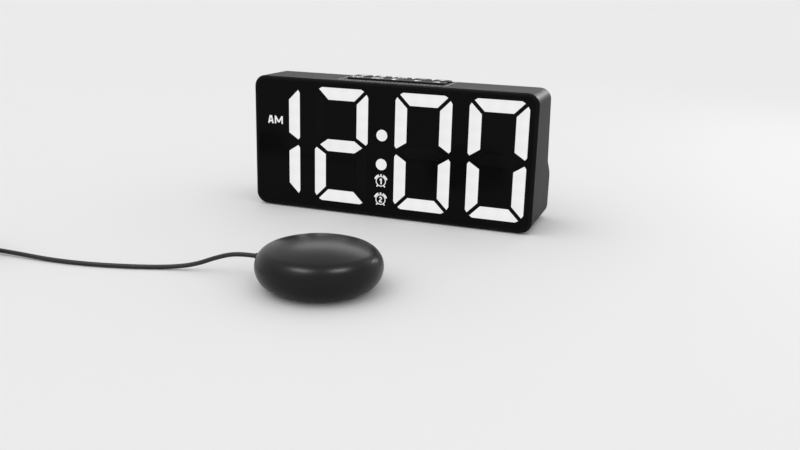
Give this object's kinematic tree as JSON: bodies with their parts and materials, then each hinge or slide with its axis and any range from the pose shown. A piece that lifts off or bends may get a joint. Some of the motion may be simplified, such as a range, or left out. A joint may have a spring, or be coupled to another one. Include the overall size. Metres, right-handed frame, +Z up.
{
  "type": "bed shaker alarm clock",
  "caption": "Slim bedside clock with very large seven-segment figures, top keys and rear sockets, and a pebble-shaped vibrating shaker on a coiled lead.",
  "frame": {"origin": "on the table, at the middle of the box round the clock and the shaker puck, without the lead", "axes": "+Z up; the clock faces -Y; +X to the right of someone who faces it"},
  "size_m": [0.3624, 0.2546, 0.0882],
  "materials": {
    "black_frame": "black moulded rim, lightly polished",
    "black_lens": "glossy black face film",
    "white_light": "translucent white light guide, lit white",
    "smoked_light": "the same light guides, unlit",
    "white_reflector": "matt white moulding",
    "circuit_board": "green solder mask",
    "lamp_resin": "pale yellow lamp resin",
    "screw_steel": "zinc-plated steel",
    "dark_housing": "fine-grained dark grey moulding",
    "foot_rubber": "soft black rubber",
    "key_plastic": "dark grey keys with white marks",
    "switch_black": "black moulded component bodies",
    "spring_contact": "nickel-plated spring steel",
    "cell_jacket": "plain printed metal can, no print",
    "socket_black": "black socket moulding",
    "socket_steel": "tin-plated sheet shell",
    "tongue_white": "white port insulator",
    "speaker_metal": "pressed steel basket and magnet",
    "cone_paper": "black paper cone",
    "puck_shell": "satin dark grey shell",
    "motor_steel": "drawn steel can",
    "weight_metal": "sintered heavy metal",
    "lead_jacket": "matt black cable jacket",
    "plug_metal": "nickel-plated pin"
  },
  "bodies": {
    "clock": {"front_frame": "black_frame", "display_lens": "black_lens", "digit_1": "white_light", "digit_2": "white_light", "digit_3": "white_light", "digit_4": "white_light", "unlit_strokes": "smoked_light", "colon_dots": "white_light", "am_light_guide": "white_light", "alarm_light_guides": "white_light", "light_box": "white_reflector", "display_board": "circuit_board", "display_lamps": "lamp_resin", "display_screws": "screw_steel", "housing": "dark_housing", "rubber_feet": "foot_rubber", "case_screws": "screw_steel", "key_board": "circuit_board", "key_switches": "switch_black", "battery_tray": "switch_black", "battery_contacts": "spring_contact", "backup_batteries": "cell_jacket", "main_board": "circuit_board", "board_screws": "screw_steel", "board_components": "switch_black", "dc_socket": "socket_black", "usb_shell": "socket_steel", "usb_tongue": "tongue_white", "shaker_socket": "socket_black", "mode_switch": "switch_black", "dimmer_pot": "switch_black", "speaker_grille": "dark_housing", "speaker": "speaker_metal", "speaker_cone": "cone_paper", "shaker_lead": "lead_jacket", "shaker_lead_coil": "lead_jacket", "shaker_lead_tail": "lead_jacket", "coil_tie": "foot_rubber", "shaker_plug_body": "lead_jacket", "shaker_plug_pin": "plug_metal"},
    "snooze_bar": {"snooze_bar": "key_plastic"},
    "key_1": {"key_1": "key_plastic"},
    "key_2": {"key_2": "key_plastic"},
    "key_3": {"key_3": "key_plastic"},
    "key_4": {"key_4": "key_plastic"},
    "key_5": {"key_5": "key_plastic"},
    "mode_knob": {"mode_knob": "socket_black"},
    "dimmer_wheel": {"dimmer_wheel": "socket_black"},
    "battery_door": {"battery_door": "dark_housing"},
    "shaker": {"shaker_top_shell": "puck_shell", "shaker_bottom_shell": "puck_shell", "shaker_foot_pad": "foot_rubber", "shaker_screws": "screw_steel", "motor_case": "motor_steel", "motor_strap": "motor_steel", "strap_screws": "screw_steel", "lead_relief": "foot_rubber"},
    "rotor": {"motor_shaft": "motor_steel", "eccentric_weight": "weight_metal"}
  },
  "joints": [
    {"name": "snooze_bar_press", "type": "slide", "parent": "clock", "child": "snooze_bar", "axis": [0, 0, -1], "range_m": [0, 0.0005], "stiffness_N_per_m": 300, "springref_m": -0.001},
    {"name": "key_1_press", "type": "slide", "parent": "clock", "child": "key_1", "axis": [0, 0, -1], "range_m": [0, 0.0005], "stiffness_N_per_m": 300, "springref_m": -0.001},
    {"name": "key_2_press", "type": "slide", "parent": "clock", "child": "key_2", "axis": [0, 0, -1], "range_m": [0, 0.0005], "stiffness_N_per_m": 300, "springref_m": -0.001},
    {"name": "key_3_press", "type": "slide", "parent": "clock", "child": "key_3", "axis": [0, 0, -1], "range_m": [0, 0.0005], "stiffness_N_per_m": 300, "springref_m": -0.001},
    {"name": "key_4_press", "type": "slide", "parent": "clock", "child": "key_4", "axis": [0, 0, -1], "range_m": [0, 0.0005], "stiffness_N_per_m": 300, "springref_m": -0.001},
    {"name": "key_5_press", "type": "slide", "parent": "clock", "child": "key_5", "axis": [0, 0, -1], "range_m": [0, 0.0005], "stiffness_N_per_m": 300, "springref_m": -0.001},
    {"name": "mode_slide", "type": "slide", "parent": "clock", "child": "mode_knob", "axis": [1, 0, 0], "range_m": [-0.0025, 0.0025]},
    {"name": "dimmer_turn", "type": "hinge", "parent": "clock", "child": "dimmer_wheel", "pos_m": [-0.00798, 0.10245, 0.0209], "axis": [0, 0, 1], "range_deg": [-135, 135]},
    {"name": "battery_door_off", "type": "slide", "parent": "clock", "child": "battery_door", "axis": [0, 0.9939, 0.1104], "range_m": [0, 0.014]},
    {"name": "shaker_lift", "type": "slide", "parent": "clock", "child": "shaker", "axis": [0, 0, 1], "range_m": [0, 0.06]},
    {"name": "rotor_spin", "type": "hinge", "parent": "shaker", "child": "rotor", "pos_m": [0.0152, -0.07765, 0.0121], "axis": [0, 1, 0], "continuous": true}
  ]
}
